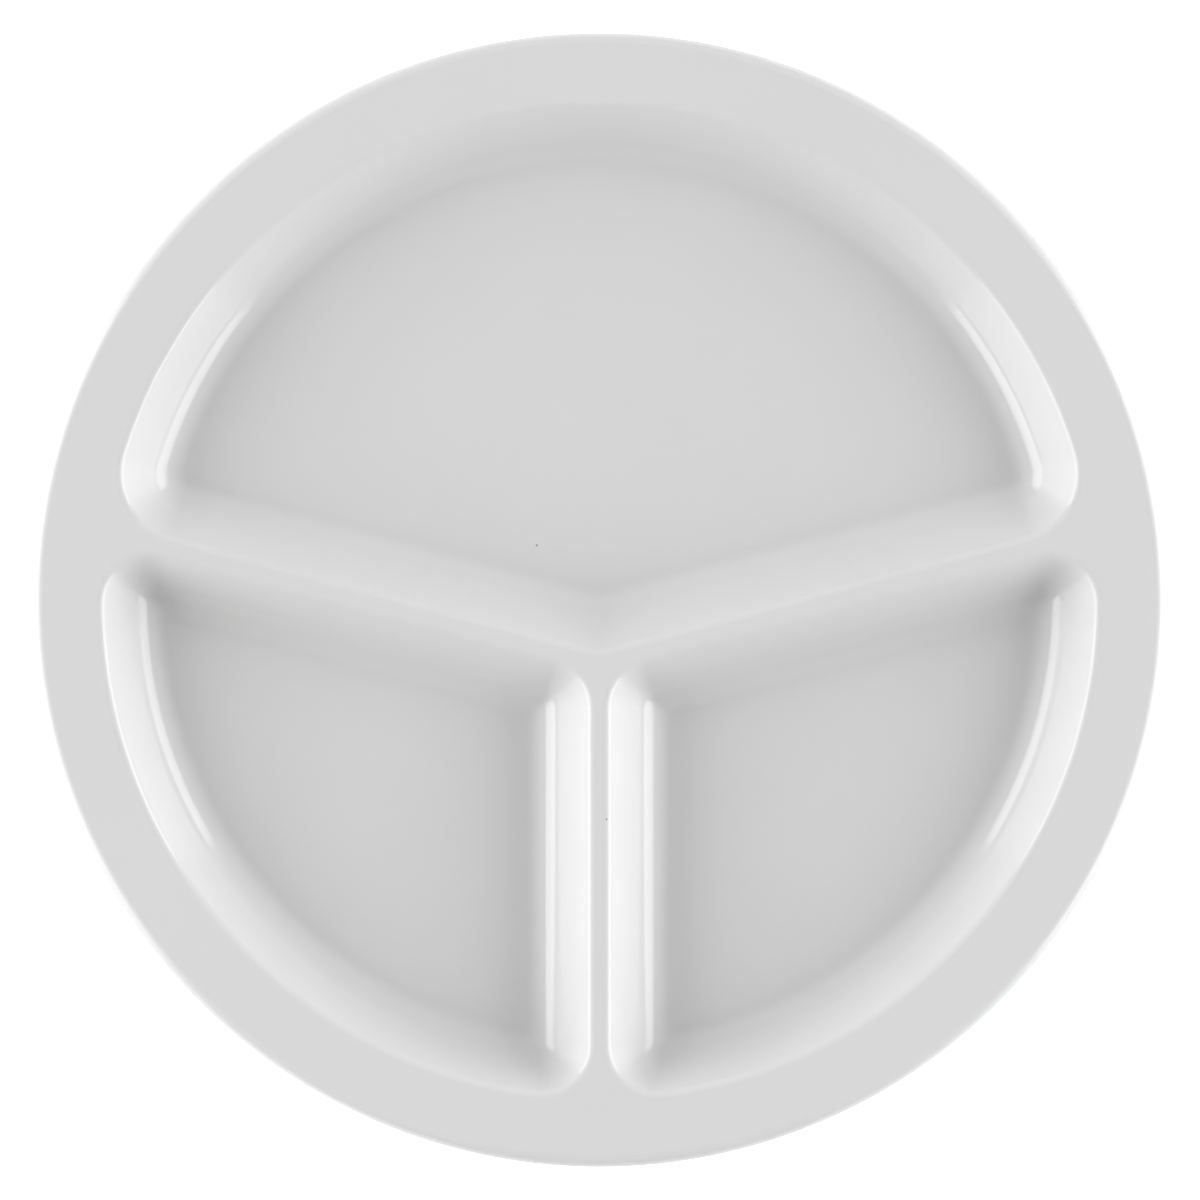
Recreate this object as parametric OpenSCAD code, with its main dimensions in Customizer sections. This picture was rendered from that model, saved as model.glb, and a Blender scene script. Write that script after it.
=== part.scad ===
// Round dinner plate with three compartments, moulded in one piece.
// The plate stands on z = 0, centred on the z axis, with the large compartment towards +y.

/* [Plate] */
// Diameter over the rim
plate_d = 260; // [240:1:290]
// Thickness of the moulding, the same all over
wall_t = 3.2; // [2.4:0.1:4]
// Radius along the upper edge of the rim
rim_top_r = 2.6; // [1:0.1:3]
// Radius along the lower edge of the rim
rim_under_r = 0.4; // [0.2:0.1:1]

/* [Compartments] */
// Diameter of the circle that holds the upper edges of all compartments
well_d = 230.8; // [200:0.2:234]
// Depth of the compartments below the rim
well_depth = 13.5; // [10:0.5:18]
// Slope of the compartment walls, in degrees from level
wall_slope = 55; // [48:1:70]
// Radius between the walls and the floor
floor_r = 9.6; // [5:0.2:11]
// Radius along the upper edge of the walls
lip_r = 2.6; // [1:0.1:4]
// Corner radius in plan, at the upper edge
corner_r = 12.6; // [8:0.2:15]
// Corner radius in plan at the two ends of the large compartment, at the upper edge
end_r = 17; // [8:0.5:20]
// Radius under the rim, where the outside of a basin turns into it
under_r = 2; // [1:0.5:4]

/* [Dividers] */
// Width of the flat strip along the top of a divider
crest_w = 1.6; // [1:0.2:8]
// Angle by which the two side dividers rise away from level
arm_rise = 15; // [5:1:25]
// Distance from the plate's centre to the point where the dividers meet
meet_drop = 14.5; // [5:0.5:25]

/* [Foot] */
// Height of the foot beads below the floors
foot_h = 1.2; // [0.8:0.1:3]
// Width of a foot bead
foot_w = 3; // [2:0.5:6]
// Bevel along the lower edges of a foot bead
foot_bevel = 0.6; // [0.2:0.1:0.8]
// Distance from the edge of the level floor in to a foot bead
foot_set = 1.5; // [0:0.5:5]

/* [Hidden] */
// Sides of the plate's outer circle
$fn = 96;
// How far cutting shapes run past what they cut
overrun = 5;
// How far the rounded upper edges of the walls run past the face that they blend into
lap = 0.05;
// Steps in which each kind of rounding is drawn
hollow_steps = 4;
lip_steps = 3;
corner_steps = 6;
rim_top_steps = 5;
rim_under_steps = 2;
// Share of the rim's side that the upper radius may take
edge_share = 0.95;
// Share of the moulding's thickness by which the solids that make it up reach into each other
joint_share = 0.5;
plate_r = plate_d / 2;
well_r = well_d / 2;
rim_edge_r = min(rim_top_r, edge_share * (wall_t - rim_under_r));
floor_z = foot_h + wall_t;
rim_z = floor_z + well_depth;
rim_under_z = rim_z - wall_t;
joint_t = joint_share * wall_t;
// Run of a wall in plan, from the level floor to the level rim
wall_run = well_depth / tan(wall_slope) + (floor_r + lip_r) * tan(wall_slope / 2);
// Edge of the level floor, measured outwards from the outline that the corners turn about
floor_edge = corner_r - wall_run;
foot_edge = floor_edge - foot_set;
// Headings of the dividers from the point where they meet
meet = [0, -meet_drop];
headings = [arm_rise, 180 - arm_rise, 270];
// The three spans between them, each with the radius of its corners at the outer circle
spans = [
    [headings[0], headings[1], end_r],
    [headings[1], headings[2], corner_r],
    [headings[2] - 360, headings[0], corner_r]
];

function unit(angle) = [cos(angle), sin(angle)];
function heading(v) = atan2(v[1], v[0]);

// The same angle, counted on from another one
function onward(angle, from) = from + (angle - from + 720) % 360;

// Points along an arc, in equal steps
function arc(centre, r, from, to, steps) =
    [for (i = [0:steps]) centre + r * unit(from + (to - from) * i / steps)];

// Corner of a compartment's outline between its two dividers
function inner_corner(span, reach) =
    meet + unit((span[0] + span[1]) / 2) * reach / sin((span[1] - span[0]) / 2);

// Corner of a compartment's outline where a divider runs into the outer circle
function outer_corner(angle, side, reach, radius) =
    let (inward = unit(angle + side * 90), off = inward * meet + reach)
    inward * off + unit(angle) * sqrt(radius * radius - off * off);

// The three sharp corners, counter-clockwise, of the outline that lies inset from the upper edge
function outline(span, inset) =
    let (reach = crest_w / 2 + inset, radius = well_r - inset)
    [
        inner_corner(span, reach),
        outer_corner(span[0], 1, reach, radius),
        outer_corner(span[1], -1, reach, radius)
    ];

// Outline of a compartment at a distance out from the one that its inner corner turns about.
// A corner's radius shrinks with its distance in from the upper edge, down to a sharp corner.
function ring(span, out) =
    let (
        inset = corner_r - out,
        inner_r = max(out, 0),
        outer_r = max(span[2] - inset, 0),
        inner = outline(span, inset + inner_r),
        outer = outline(span, inset + outer_r),
        first = onward(heading(outer[1]), span[0] - 90),
        last = onward(heading(outer[2]), first),
        arc_steps = round((span[1] - span[0]) / 360 * $fn)
    )
    [
        each arc(outer[1], outer_r, span[0] - 90, first, corner_steps),
        each arc([0, 0], well_r - inset, first, last, arc_steps),
        each arc(outer[2], outer_r, last, span[1] + 90, corner_steps),
        each arc(inner[0], inner_r, span[1] + 90, span[0] + 270, corner_steps)
    ];

// Section of a wall as distances out and heights: hollow rounding, slope and rounded upper edge
function wall_profile(low_z, hollow_r, edge_r) =
    let (
        edge_z = low_z + well_depth + lap,
        edge = floor_edge + well_depth / tan(wall_slope) + (hollow_r + edge_r) * tan(wall_slope / 2)
    )
    [
        each arc([floor_edge, low_z + hollow_r], hollow_r, -90, wall_slope - 90, hollow_steps),
        each arc([edge, edge_z - edge_r], edge_r, wall_slope + 90, 90, lip_steps)
    ];

// Fills the space between an outline at one height and an outline at another
module layer(low, low_z, high, high_z) {
    count = len(low);
    points = [
        for (p = low) [p[0], p[1], low_z],
        for (p = high) [p[0], p[1], high_z]
    ];
    hull()
        polyhedron(points, [[for (i = [0:count - 1]) i], [for (i = [0:count - 1]) count + i]]);
}

// Fills a compartment's outline layer by layer, out to a profile and then straight up
module pile(span, profile, top_z) {
    top = profile[len(profile) - 1];
    steps = [each profile, [top[0], top_z]];
    for (i = [1:len(steps) - 1])
        layer(ring(span, steps[i - 1][0]), steps[i - 1][1], ring(span, steps[i][0]), steps[i][1]);
}

// Space inside one compartment, open above the rim
module well(span) {
    pile(span, wall_profile(floor_z, floor_r, lip_r), rim_z + overrun);
}

// Solid outside of one compartment, up into the rim
module basin(span) {
    pile(span, wall_profile(foot_h, floor_r + wall_t, under_r), rim_z - joint_t);
}

// Low bead that one compartment stands on
module foot_bead(span) {
    top_z = foot_h + joint_t;
    inner_edge = foot_edge - foot_w;
    difference() {
        pile(span, [[foot_edge - foot_bevel, 0], [foot_edge, foot_bevel]], top_z);
        pile(
            span,
            [[inner_edge + foot_bevel + overrun, -overrun], [inner_edge, foot_bevel]],
            top_z + overrun
        );
    }
}

// Level disc that forms the rim and the tops of the dividers
module rim_disc() {
    under_at = [plate_r - rim_under_r, rim_under_z + rim_under_r];
    edge_at = [plate_r - rim_edge_r, rim_z - rim_edge_r];
    rotate_extrude()
        polygon([
            [0, rim_under_z],
            each arc(under_at, rim_under_r, -90, 0, rim_under_steps),
            each arc(edge_at, rim_edge_r, 0, 90, rim_top_steps),
            [0, rim_z]
        ]);
}

module compartment_plate() {
    color("whitesmoke")
        difference() {
            union() {
                rim_disc();
                for (span = spans) {
                    basin(span);
                    foot_bead(span);
                }
            }
            for (span = spans)
                well(span);
        }
}

compartment_plate();
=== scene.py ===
import math

import bpy
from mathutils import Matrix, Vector
from mathutils.geometry import delaunay_2d_cdt


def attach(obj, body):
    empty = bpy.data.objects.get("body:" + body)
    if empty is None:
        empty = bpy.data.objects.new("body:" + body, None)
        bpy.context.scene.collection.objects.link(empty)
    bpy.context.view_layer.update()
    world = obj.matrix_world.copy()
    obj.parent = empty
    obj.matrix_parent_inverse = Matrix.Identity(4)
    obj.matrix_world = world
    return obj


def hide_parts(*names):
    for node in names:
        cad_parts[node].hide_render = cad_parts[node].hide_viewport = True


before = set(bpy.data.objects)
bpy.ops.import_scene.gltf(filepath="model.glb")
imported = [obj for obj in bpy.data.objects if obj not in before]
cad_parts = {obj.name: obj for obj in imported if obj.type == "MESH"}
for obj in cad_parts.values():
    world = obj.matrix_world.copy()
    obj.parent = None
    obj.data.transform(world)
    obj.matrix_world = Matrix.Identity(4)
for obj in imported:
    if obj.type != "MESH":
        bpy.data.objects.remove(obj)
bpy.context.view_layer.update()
scene = bpy.context.scene
print("frame loaded:", sorted(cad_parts))

mm = 0.001

# sizes in millimetres, the same as in the part's source
plateForm = {
    "diameter": 260.0,
    "wall": 3.2,
    "rimTopRadius": 2.6,
    "rimUnderRadius": 0.4,
    "wellDiameter": 230.8,
    "wellDepth": 13.5,
    "slope": 55.0,
    "floorRadius": 9.6,
    "lipRadius": 2.6,
    "cornerRadius": 12.6,
    "endRadius": 17.0,          # at the two ends of the large compartment
    "floorCornerRadius": 1.6,   # what the corners keep down at the floor
    "cornerEase": 1.2,
    "underRadius": 0.6,
    "crestWidth": 1.6,
    "armRise": 15.0,
    "meetDrop": 14.5,
    "footHeight": 1.2,
    "footWidth": 3.0,
    "footEdgeRadius": 0.6,
    "footSet": 1.5,
}

# how finely the surface is divided
plateMesh = {
    "rimSteps": 360,
    "outerSteps": 150,
    "cornerSteps": 20,
    "sideSteps": 24,
    "hollowSteps": 18,
    "slopeSteps": 4,
    "lipSteps": 12,
    "rimRoundSteps": 12,
    "footRoundSteps": 5,
    "floorSteps": 7,
    "insideOnly": 1,            # keeps of a level face what lies inside its outlines
    "mergeGap": 1e-7,           # mm within which two of its points count as one
}


def headingPoint(angle, reach=1.0):
    return Vector((math.cos(math.radians(angle)), math.sin(math.radians(angle)))) * reach


def headingOf(point):
    return math.degrees(math.atan2(point.y, point.x))


def onward(angle, start):
    return start + (angle - start) % 360


def compartmentCorners(span, inset):
    # sharp corners of the outline that lies inset from the upper edge:
    # the inner one, then the two on the outer circle
    form = plateForm
    meet = Vector((0, -form["meetDrop"]))
    reach = form["crestWidth"] / 2 + inset
    radius = form["wellDiameter"] / 2 - inset
    half = math.radians((span[1] - span[0]) / 2)
    corners = [meet + headingPoint((span[0] + span[1]) / 2, reach / math.sin(half))]
    for angle, side in ((span[0], 1), (span[1], -1)):
        inward = headingPoint(angle + side * 90)
        off = inward.dot(meet) + reach
        corners.append(inward * off + headingPoint(angle, math.sqrt(radius ** 2 - off ** 2)))
    return corners


def cornerRadiusAt(upperRadius, inset):
    # shrinks with the distance in from the upper edge, and eases into what the floor's corner keeps
    low, ease = plateForm["floorCornerRadius"], plateForm["cornerEase"]
    full = upperRadius - inset
    return (full + low + math.sqrt((full - low) ** 2 + ease ** 2)) / 2


def compartmentRing(span, out):
    # points and outward headings round a compartment,
    # out from the outline that its inner corner turns about
    form, steps = plateForm, plateMesh
    inset = form["cornerRadius"] - out
    innerRadius = cornerRadiusAt(form["cornerRadius"], inset)
    outerRadius = cornerRadiusAt(span[2], inset)
    inner = compartmentCorners(span, inset + innerRadius)[0]
    right, left = compartmentCorners(span, inset + outerRadius)[1:]
    first = onward(headingOf(right), span[0] - 90)
    last = onward(headingOf(left), first)
    turns = [
        (right, outerRadius, span[0] - 90, first, steps["cornerSteps"]),
        (Vector((0, 0)), form["wellDiameter"] / 2 - inset, first, last, steps["outerSteps"]),
        (left, outerRadius, last, span[1] + 90, steps["cornerSteps"]),
        (inner, innerRadius, span[1] + 90, span[0] + 270, steps["cornerSteps"]),
    ]
    ring = []
    for place, (centre, reach, start, end, count) in enumerate(turns):
        for i in range(count + 1):
            if i == 0 and place in (1, 2):
                continue  # the arc before it ends on this point
            angle = start + (end - start) * i / count
            ring.append((centre + headingPoint(angle, reach), angle))
        if place >= 2:  # a straight side follows
            nextCentre, nextRadius, nextAngle = turns[(place + 1) % len(turns)][:3]
            a, b = ring[-1][0], nextCentre + headingPoint(nextAngle, nextRadius)
            for i in range(1, steps["sideSteps"]):
                ring.append((a.lerp(b, i / steps["sideSteps"]), nextAngle))
    return ring


def wallProfile(lowZ, hollowRadius, edgeRadius):
    # (distance out, height, tilt) from the level floor up to the level rim
    form, steps = plateForm, plateMesh
    slope = form["slope"]
    rad = math.radians(slope)
    run = form["wellDepth"] / math.tan(rad)
    share = math.tan(rad / 2)  # of its radius, by which a rounding lengthens the run
    floorEdge = form["cornerRadius"] - run - (form["floorRadius"] + form["lipRadius"]) * share
    edge = floorEdge + run + (hollowRadius + edgeRadius) * share
    edgeZ = lowZ + form["wellDepth"]
    profile = []
    for i in range(steps["hollowSteps"] + 1):
        tilt = slope * i / steps["hollowSteps"]
        t = math.radians(tilt)
        out, rise = hollowRadius * math.sin(t), hollowRadius * (1 - math.cos(t))
        profile.append((floorEdge + out, lowZ + rise, tilt))
    upper = []
    for i in range(steps["lipSteps"] + 1):
        tilt = slope * (1 - i / steps["lipSteps"])
        t = math.radians(tilt)
        out, drop = edgeRadius * math.sin(t), edgeRadius * (1 - math.cos(t))
        upper.append((edge - out, edgeZ - drop, tilt))
    a, b = profile[-1], upper[0]
    for i in range(1, steps["slopeSteps"]):
        s = i / steps["slopeSteps"]
        profile.append((a[0] + (b[0] - a[0]) * s, a[1] + (b[1] - a[1]) * s, slope))
    return profile + upper


class Surface:
    def __init__(self):
        self.points, self.normals, self.faces = [], [], []

    def add(self, x, y, z, normal):
        self.points.append((x * mm, y * mm, z * mm))
        self.normals.append(normal)
        return len(self.points) - 1

    def addRing(self, ring, z, tilt, up):
        # tilt turns the normal from upright towards the middle of the compartment,
        # or away from it below
        s, c = math.sin(math.radians(tilt)), math.cos(math.radians(tilt))
        made = []
        for point, angle in ring:
            way = headingPoint(angle)
            normal = (-way.x * s, -way.y * s, c)
            made.append(self.add(point.x, point.y, z, normal if up else tuple(-n for n in normal)))
        return made

    def bridge(self, inner, outer, up):
        count = len(inner)
        for i in range(count):
            j = (i + 1) % count
            face = (outer[i], outer[j], inner[j], inner[i])
            self.faces.append(face if up else face[::-1])

    def fillRing(self, ring, loop, z, up):
        # closes a level floor with shrinking rings and a fan at the middle
        count = len(ring)
        centre = sum((p for p, _ in ring), Vector((0, 0))) / count
        steps = plateMesh["floorSteps"]
        normal = (0, 0, 1 if up else -1)
        outer = loop
        for i in range(1, steps):
            share = 1 - i / steps
            inner = [self.add(*(centre + (p - centre) * share), z, normal) for p, _ in ring]
            self.bridge(inner, outer, up)
            outer = inner
        middle = self.add(*centre, z, normal)
        for i in range(count):
            face = (outer[i], outer[(i + 1) % count], middle)
            self.faces.append(face if up else face[::-1])

    def fillBetween(self, outer, holes, up):
        # level face inside one loop and outside the others
        loops = [outer] + holes
        index = [i for loop in loops for i in loop]
        flat = [Vector(self.points[i][:2]) / mm for i in index]
        edges, start = [], 0
        for loop in loops:
            n = len(loop)
            edges += [(start + k, start + (k + 1) % n) for k in range(n)]
            start += n
        owner = {i: n for n, loop in enumerate(holes) for i in loop}
        places, _, triangles, origins, _, _ = delaunay_2d_cdt(
            flat, edges, [], plateMesh["insideOnly"], plateMesh["mergeGap"])
        if len(places) != len(flat):
            print("level face gained points:", len(places) - len(flat))
        for triangle in triangles:
            face = [index[origins[k][0]] for k in triangle]
            owners = {owner.get(i) for i in face}
            if len(owners) == 1 and None not in owners:
                continue  # all three on one hole, which is convex, so inside it
            a, b, c = (Vector(self.points[k][:2]) for k in face)
            if ((b - a).cross(c - a) > 0) != up:
                face.reverse()
            self.faces.append(tuple(face))


def footProfile(floorEdge):
    # (distance out, height, tilt) from the level underside down round the bead and up again
    form = plateForm
    high, r = form["footHeight"], form["footEdgeRadius"]
    outer = floorEdge - form["footSet"]
    inner = outer - form["footWidth"]
    steps = plateMesh["footRoundSteps"]
    profile = []
    for centre, z, start, end, turn in (
        (outer + r, high - r, 90, 180, 1),     # out of the underside
        (outer - r, r, 0, -90, -1),            # to the standing face
        (inner + r, r, -90, -180, -1),
        (inner - r, high - r, 0, 90, 1),       # back into the underside
    ):
        for i in range(steps + 1):
            angle = start + (end - start) * i / steps
            way = headingPoint(angle)
            normal = -way if turn > 0 else way
            tilt = math.degrees(math.atan2(normal.x, -normal.y))
            profile.append((centre + r * way.x, z + r * way.y, tilt))
    return profile


def buildPlate():
    form, steps = plateForm, plateMesh
    surface = Surface()
    floorZ = form["footHeight"] + form["wall"]
    rimZ = floorZ + form["wellDepth"]
    rimUnderZ = rimZ - form["wall"]
    plateRadius = form["diameter"] / 2
    rise, corner = form["armRise"], form["cornerRadius"]
    # headings of the dividers on both sides of a compartment, and its radius at the outer corners
    spans = [(rise, 180 - rise, form["endRadius"]), (180 - rise, 270, corner), (-90, rise, corner)]

    # upper side: floor, hollow, slope and lip of each compartment
    lips = []
    for span in spans:
        loop = None
        for out, z, tilt in wallProfile(floorZ, form["floorRadius"], form["lipRadius"]):
            ring = compartmentRing(span, out)
            made = surface.addRing(ring, z, tilt, True)
            if loop is None:
                surface.fillRing(ring, made, z, True)
            else:
                surface.bridge(loop, made, True)
            loop = made
        lips.append(loop)

    # rim: from the upper face round the edge to the lower face
    section = []
    top, under = form["rimTopRadius"], form["rimUnderRadius"]
    for i in range(steps["rimRoundSteps"] + 1):
        tilt = 90 * i / steps["rimRoundSteps"]
        way = headingPoint(90 - tilt)
        r, z = plateRadius - top + top * way.x, rimZ - top + top * way.y
        section.append((r, z, tilt))
    for i in range(steps["rimRoundSteps"] // 2 + 1):
        tilt = 90 + 180 * i / steps["rimRoundSteps"]
        way = headingPoint(90 - tilt)
        r, z = plateRadius - under + under * way.x, rimUnderZ + under + under * way.y
        section.append((r, z, tilt))
    loops = []
    for r, z, tilt in section:
        s, c = math.sin(math.radians(tilt)), math.cos(math.radians(tilt))
        made = []
        for k in range(steps["rimSteps"]):
            way = headingPoint(360 * k / steps["rimSteps"])
            made.append(surface.add(way.x * r, way.y * r, z, (way.x * s, way.y * s, c)))
        loops.append(made)
    for inner, outer in zip(loops, loops[1:]):
        surface.bridge(inner, outer, True)
    surface.fillBetween(loops[0], lips, True)

    # lower side: wall, floor and foot bead under each compartment
    roots = []
    for span in spans:
        hollow = form["floorRadius"] + form["wall"]
        profile = wallProfile(form["footHeight"], hollow, form["underRadius"])
        loop = None
        for out, z, tilt in profile:
            made = surface.addRing(compartmentRing(span, out), z, tilt, False)
            if loop is None:
                lowest = made
            else:
                surface.bridge(loop, made, False)
            loop = made
        roots.append(loop)
        outer = lowest
        for out, z, tilt in footProfile(profile[0][0]):
            ring = compartmentRing(span, out)
            made = surface.addRing(ring, z, tilt, False)
            surface.bridge(made, outer, False)
            outer = made
        surface.fillRing(ring, outer, form["footHeight"], False)
    surface.fillBetween(loops[-1], roots, False)

    mesh = bpy.data.meshes.new("compartmentPlate")
    mesh.from_pydata(surface.points, [], surface.faces)
    mesh.validate()
    mesh.shade_smooth()
    mesh.normals_split_custom_set_from_vertices(surface.normals)
    plate = bpy.data.objects.new("compartmentPlate", mesh)
    scene.collection.objects.link(plate)
    print("plate:", len(mesh.vertices), "points,", len(mesh.polygons), "faces")
    return plate


plate = buildPlate()


def hexToLinear(code):
    code = code.lstrip("#")
    out = []
    for i in (0, 2, 4):
        v = int(code[i:i + 2], 16) / 255
        out.append(v / 12.92 if v <= 0.04045 else ((v + 0.055) / 1.055) ** 2.4)
    return (*out, 1.0)


def addNode(tree, kind, settings=None, links=None):
    # one node, its properties and socket values, and what feeds its inputs
    node = tree.nodes.new(kind)
    for key, value in (settings or {}).items():
        if isinstance(key, str) and hasattr(node, key):
            setattr(node, key, value)
        else:
            node.inputs[key].default_value = value
    for key, source in (links or {}).items():
        tree.links.new(source, node.inputs[key])
    return node


melamineLook = {
    "colour": "#E4E4E4",
    "shade": "#E0E0E0",
    "speck": "#9C9A96",
    "scuff": "#C4C3BF",
    "ior": 1.57,
    "roughness": 0.13,
    "roughnessSpread": 0.05,
    "cloudSize": 35.0,      # mm across a patch of slightly other tone
    "cloudDetail": 3.0,
    "peelSize": 2.2,        # mm between the ripples of the polished tool
    "peelDetail": 1.0,
    "peelDepth": 0.004,     # mm
    "peelStrength": 0.25,
    "speckCell": 20.0,      # mm between specks
    "speckSize": 0.5,       # mm
    "tumbledFrom": 127.2,   # mm from the middle, where the deflashed edge begins
    "tumbledTo": 129.6,
    "tumbledDull": 0.12,    # added to the roughness there
    "underFacing": -0.1,    # upward share of the normal, below which a face is underside
    "underDull": 0.16,      # the lower half of the tool is polished less
    "scuffHeight": 0.3,     # mm above the table, worn by sliding
    "scuffSize": 0.8,       # mm
    "scuffDetail": 4.0,
    "scuffDull": 0.3,
}


def mouldedMelamine():
    # compression-moulded white melamine from a polished tool: hard gloss with the faintest
    # ripple, a tone that clouds a little, a few stray dark specks of filler, a duller edge
    # where the flash was tumbled off, a less polished underside, and grey scuffs where the
    # foot beads slide on tables
    look = melamineLook
    material = bpy.data.materials.new("polishedMelamine")
    material.use_nodes = True
    tree = material.node_tree
    tree.nodes.clear()
    spot = addNode(tree, "ShaderNodeTexCoord")
    place = spot.outputs["Object"]
    height = addNode(tree, "ShaderNodeSeparateXYZ", None, {0: place}).outputs["Z"]
    facing = addNode(tree, "ShaderNodeSeparateXYZ", None, {0: spot.outputs["Normal"]}).outputs["Z"]

    cloud = addNode(tree, "ShaderNodeTexNoise",
                    {"Scale": 1 / (look["cloudSize"] * mm), "Detail": look["cloudDetail"]},
                    {"Vector": place})
    tone = addNode(tree, "ShaderNodeMix",
                   {"data_type": "RGBA", 6: hexToLinear(look["colour"]),
                    7: hexToLinear(look["shade"])},
                   {0: cloud.outputs["Fac"]})
    cells = addNode(tree, "ShaderNodeTexVoronoi", {"Scale": 1 / (look["speckCell"] * mm)},
                    {"Vector": place})
    speckReach = look["speckSize"] / 2 / look["speckCell"]
    speck = addNode(tree, "ShaderNodeMath", {"operation": "LESS_THAN", 1: speckReach},
                    {0: cells.outputs["Distance"]})
    specked = addNode(tree, "ShaderNodeMix", {"data_type": "RGBA", 7: hexToLinear(look["speck"])},
                      {0: speck.outputs[0], 6: tone.outputs[2]})

    # where the surface has lost its polish
    flat = addNode(tree, "ShaderNodeVectorMath", {"operation": "MULTIPLY", 1: (1, 1, 0)},
                   {0: place})
    reach = addNode(tree, "ShaderNodeVectorMath", {"operation": "LENGTH"}, {0: flat.outputs[0]})
    tumbled = addNode(tree, "ShaderNodeMapRange",
                      {"interpolation_type": "SMOOTHSTEP", "From Min": look["tumbledFrom"] * mm,
                       "From Max": look["tumbledTo"] * mm},
                      {"Value": reach.outputs["Value"]})
    under = addNode(tree, "ShaderNodeMath", {"operation": "LESS_THAN", 1: look["underFacing"]},
                    {0: facing})
    low = addNode(tree, "ShaderNodeMapRange",
                  {"From Min": look["scuffHeight"] * mm, "From Max": 0.0}, {"Value": height})
    streaks = addNode(tree, "ShaderNodeTexNoise",
                      {"Scale": 1 / (look["scuffSize"] * mm), "Detail": look["scuffDetail"]},
                      {"Vector": place})
    scuff = addNode(tree, "ShaderNodeMath", {"operation": "MULTIPLY"},
                    {0: low.outputs[0], 1: streaks.outputs["Fac"]})
    colour = addNode(tree, "ShaderNodeMix", {"data_type": "RGBA", 7: hexToLinear(look["scuff"])},
                     {0: scuff.outputs[0], 6: specked.outputs[2]})
    spread = look["roughnessSpread"]
    gloss = addNode(tree, "ShaderNodeMath",
                    {"operation": "MULTIPLY_ADD", 1: spread, 2: look["roughness"] - spread / 2},
                    {0: cloud.outputs["Fac"]})
    for mask, amount in ((tumbled, "tumbledDull"), (under, "underDull"), (scuff, "scuffDull")):
        gloss = addNode(tree, "ShaderNodeMath", {"operation": "MULTIPLY_ADD", 1: look[amount]},
                        {0: mask.outputs[0], 2: gloss.outputs[0]})

    peel = addNode(tree, "ShaderNodeTexNoise",
                   {"Scale": 1 / (look["peelSize"] * mm), "Detail": look["peelDetail"]},
                   {"Vector": place})
    bump = addNode(tree, "ShaderNodeBump",
                   {"Strength": look["peelStrength"], "Distance": look["peelDepth"] * mm},
                   {"Height": peel.outputs["Fac"]})
    shader = addNode(tree, "ShaderNodeBsdfPrincipled", {"IOR": look["ior"]},
                     {"Base Color": colour.outputs[2], "Roughness": gloss.outputs[0],
                      "Normal": bump.outputs["Normal"]})
    addNode(tree, "ShaderNodeOutputMaterial", None, {"Surface": shader.outputs[0]})
    return material


plate.data.materials.append(mouldedMelamine())
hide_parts("compartment_plate")
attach(plate, "root")
print("plate dressed")

studio = {
    "floorColour": "#F4F4F4",
    "floorSize": 12.0,      # metres, as are the sizes and places of the lamps
    "floorDrop": 0.05,      # mm below the foot beads, so that no two faces share a plane
    "floorGlow": 0.5,       # what the camera sees on top of the lit floor
    "tentLevels": [         # height up the sky, level
        (0.0, 0.66), (0.15, 0.53), (0.35, 0.425), (0.55, 0.475),
        (0.72, 0.58), (0.84, 0.58), (0.93, 0.2), (0.97, 0.0),
    ],
    "tentLean": 0.44,       # how much lighter the back is than the middle
    "boxReach": 1.8,        # from the plate to the lamps on each side
    "boxLift": 0.002,
    "softboxWidth": 2.6,
    "softboxHeight": 1.36,
    "softboxShift": -0.18,  # towards the front
    "softboxRadiance": 3.42,
    "fillWidth": 4.4,
    "fillHeight": 1.36,
    "fillShift": 0.0,
    "fillRadiance": 0.62,
}


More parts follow.
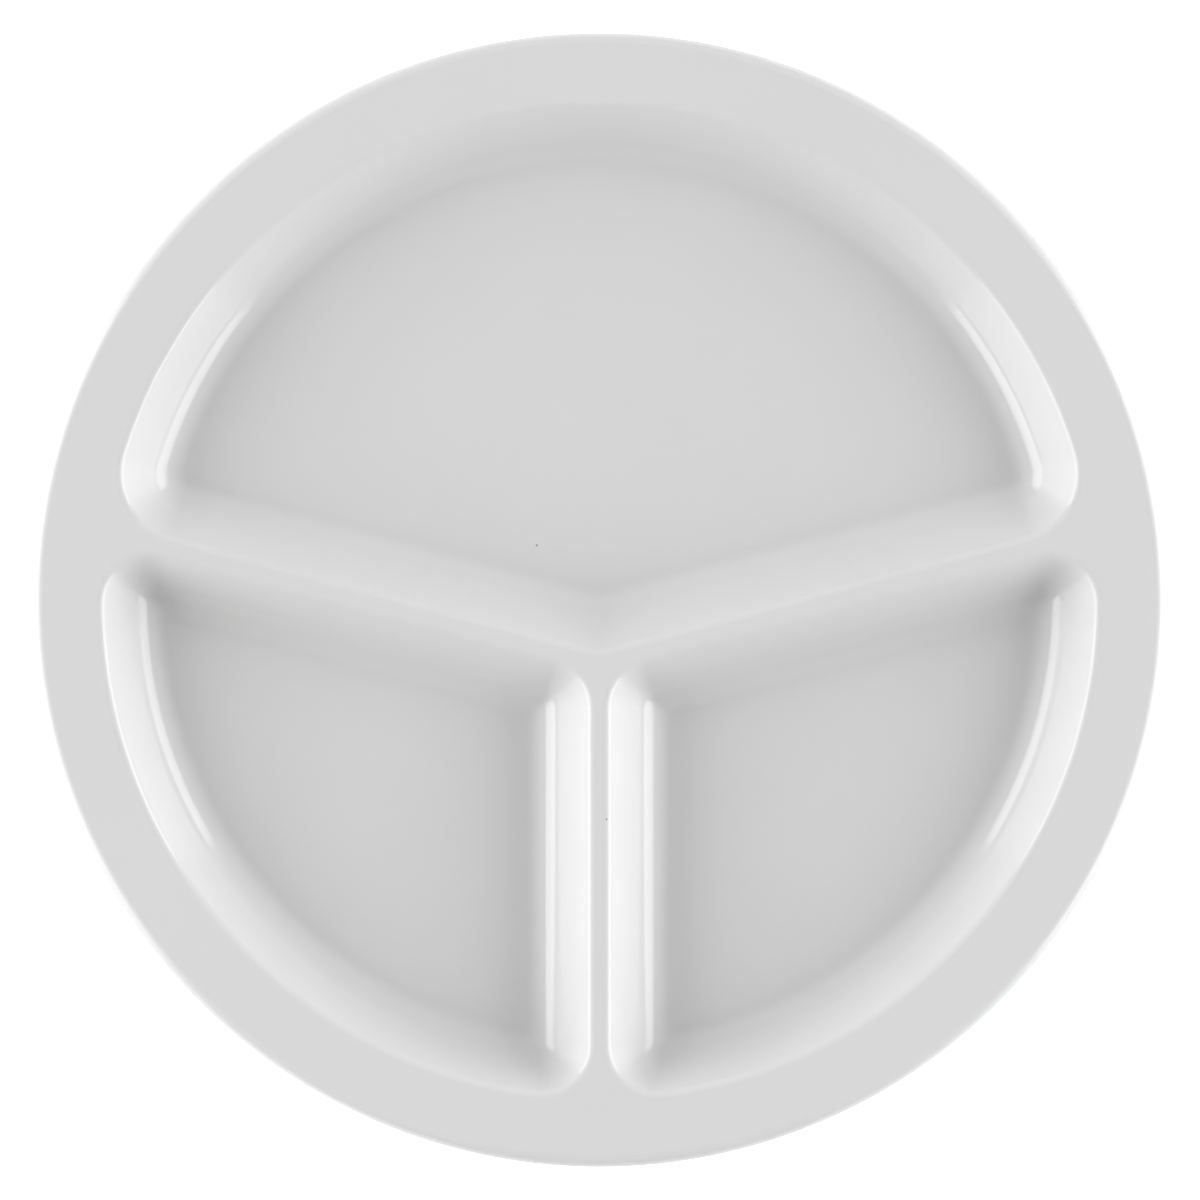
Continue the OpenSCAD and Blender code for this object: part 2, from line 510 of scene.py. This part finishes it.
def buildStudio():
    drop = studio["floorDrop"] * mm
    bpy.ops.mesh.primitive_plane_add(size=studio["floorSize"], location=(0, 0, -drop))
    floor = bpy.context.object
    floor.name = "studioFloor"
    material = bpy.data.materials.new("paleTable")
    material.use_nodes = True
    tree = material.node_tree
    tree.nodes.clear()
    rays = addNode(tree, "ShaderNodeLightPath")
    seen = addNode(tree, "ShaderNodeMath", {"operation": "MAXIMUM"},
                   {0: rays.outputs["Is Camera Ray"], 1: rays.outputs["Is Glossy Ray"]})
    seenAll = addNode(tree, "ShaderNodeMath", {"operation": "MAXIMUM"},
                      {0: seen.outputs[0], 1: rays.outputs["Is Transmission Ray"]})
    glow = addNode(tree, "ShaderNodeMath", {"operation": "MULTIPLY", 1: studio["floorGlow"]},
                   {0: seenAll.outputs[0]})
    table = addNode(tree, "ShaderNodeBsdfDiffuse", {"Color": hexToLinear(studio["floorColour"])})
    light = addNode(tree, "ShaderNodeEmission", None, {"Strength": glow.outputs[0]})
    both = addNode(tree, "ShaderNodeAddShader", None, {0: table.outputs[0], 1: light.outputs[0]})
    addNode(tree, "ShaderNodeOutputMaterial", None, {"Surface": both.outputs[0]})
    floor.data.materials.append(material)

    # a pale tent: light low down and again high up, dark at the top where the camera looks in,
    # and lighter behind the plate than in front of it
    world = bpy.data.worlds.new("studioFill")
    scene.world = world
    world.use_nodes = True
    tree = world.node_tree
    tree.nodes.clear()
    place = addNode(tree, "ShaderNodeTexCoord").outputs["Generated"]
    parts = addNode(tree, "ShaderNodeSeparateXYZ", None, {0: place})
    levels = addNode(tree, "ShaderNodeValToRGB", None, {0: parts.outputs["Z"]})
    stops = levels.color_ramp.elements
    stops.remove(stops[1])
    for i, (height, level) in enumerate(studio["tentLevels"]):
        stop = stops.new(height) if i else stops[0]
        stop.position, stop.color = height, (level, level, level, 1)
    lean = addNode(tree, "ShaderNodeMath",
                   {"operation": "MULTIPLY_ADD", 1: studio["tentLean"], 2: 1.0},
                   {0: parts.outputs["Y"]})
    back = addNode(tree, "ShaderNodeBackground", None,
                   {"Color": levels.outputs[0], "Strength": lean.outputs[0]})
    addNode(tree, "ShaderNodeOutputWorld", None, {"Surface": back.outputs[0]})

    # on each side a softbox, and a wider weak fill that gives no highlight of its own
    for name, side in (("Left", -1), ("Right", 1)):
        for kind in ("softbox", "fill"):
            wide, high = studio[kind + "Width"], studio[kind + "Height"]
            lamp = bpy.data.lights.new(kind + name, "AREA")
            lamp.shape = "RECTANGLE"
            lamp.size, lamp.size_y = wide, high
            lamp.energy = studio[kind + "Radiance"] * math.pi * wide * high
            box = bpy.data.objects.new(kind + name, lamp)
            lift = high / 2 + studio["boxLift"]
            box.location = (side * studio["boxReach"], studio[kind + "Shift"], lift)
            box.rotation_euler = (math.radians(90), 0, math.radians(90 * side))
            box.visible_camera = False
            box.visible_glossy = kind == "softbox"
            scene.collection.objects.link(box)
    print("studio ready")


cameraSetup = {
    "lens": 600.0,          # mm
    "frameWidth": 275.1,    # mm across the frame at the height of the rim
    "middle": (0.11, 0.0),  # mm, the point of the plate in the middle of the frame
    "clipEnd": 20.0,        # metres
}


def placeCamera():
    camera = bpy.data.objects.new("camera", bpy.data.cameras.new("camera"))
    camera.data.lens = cameraSetup["lens"]
    rimZ = plateForm["footHeight"] + plateForm["wall"] + plateForm["wellDepth"]
    height = cameraSetup["frameWidth"] * cameraSetup["lens"] / camera.data.sensor_width + rimZ
    x, y = cameraSetup["middle"]
    camera.location = (x * mm, y * mm, height * mm)
    camera.data.clip_end = cameraSetup["clipEnd"]
    scene.collection.objects.link(camera)
    scene.camera = camera
    print("camera at", round(height), "mm")


buildStudio()
placeCamera()
scene.view_settings.view_transform = "Standard"
